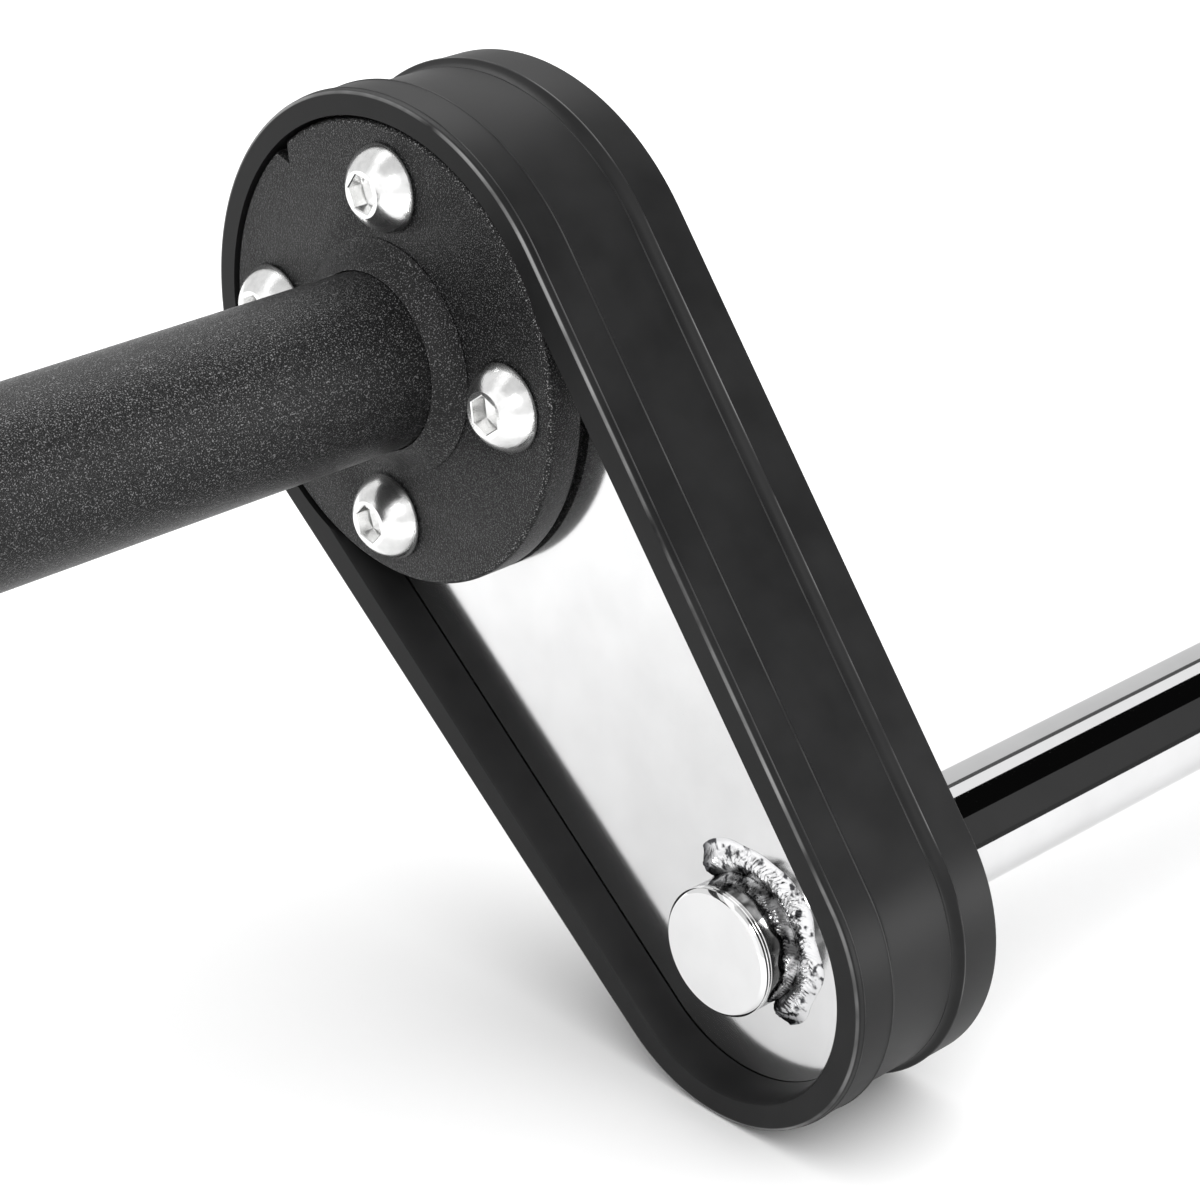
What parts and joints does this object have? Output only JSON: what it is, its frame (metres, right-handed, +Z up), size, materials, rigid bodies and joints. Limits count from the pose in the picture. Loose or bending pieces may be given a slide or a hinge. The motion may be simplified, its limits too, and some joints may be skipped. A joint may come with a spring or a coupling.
{
  "type": "pull-up bar",
  "caption": "Offset pull-up bar: a chrome grip welded between two rubber-edged teardrop plates, bolted to flanged black tubes.",
  "frame": {"origin": "centre of the left outer flange's mounting face, on the tube's axis", "axes": "+X along the tubes and the grip to the right mounting face, +Z up, +Y towards the back; the arms lean down and forward, 45 degrees below -Y"},
  "size_m": [1.1, 0.2159, 0.2159],
  "materials": {
    "powder_coat": "fine-textured black powder coat",
    "chrome": "polished chrome plate, slightly satin",
    "zinc": "bright zinc-plated steel",
    "weld_metal": "plated weld bead",
    "rubber": "matt black moulded rubber"
  },
  "bodies": {
    "root": {"grip_bar": "chrome", "left_outer_flange": "powder_coat", "left_outer_flange_weld": "powder_coat", "left_tube": "powder_coat", "left_inner_flange_weld": "powder_coat", "left_inner_flange": "powder_coat", "left_flange_screw_1": "zinc", "left_flange_screw_2": "zinc", "left_flange_screw_3": "zinc", "left_flange_screw_4": "zinc", "left_arm_plate": "chrome", "left_arm_band": "rubber", "left_grip_spigot": "chrome", "left_spigot_weld": "weld_metal", "right_outer_flange": "powder_coat", "right_outer_flange_weld": "powder_coat", "right_tube": "powder_coat", "right_inner_flange_weld": "powder_coat", "right_inner_flange": "powder_coat", "right_flange_screw_1": "zinc", "right_flange_screw_2": "zinc", "right_flange_screw_3": "zinc", "right_flange_screw_4": "zinc", "right_arm_plate": "chrome", "right_arm_band": "rubber", "right_grip_spigot": "chrome", "right_spigot_weld": "weld_metal"}
  },
  "joints": []
}
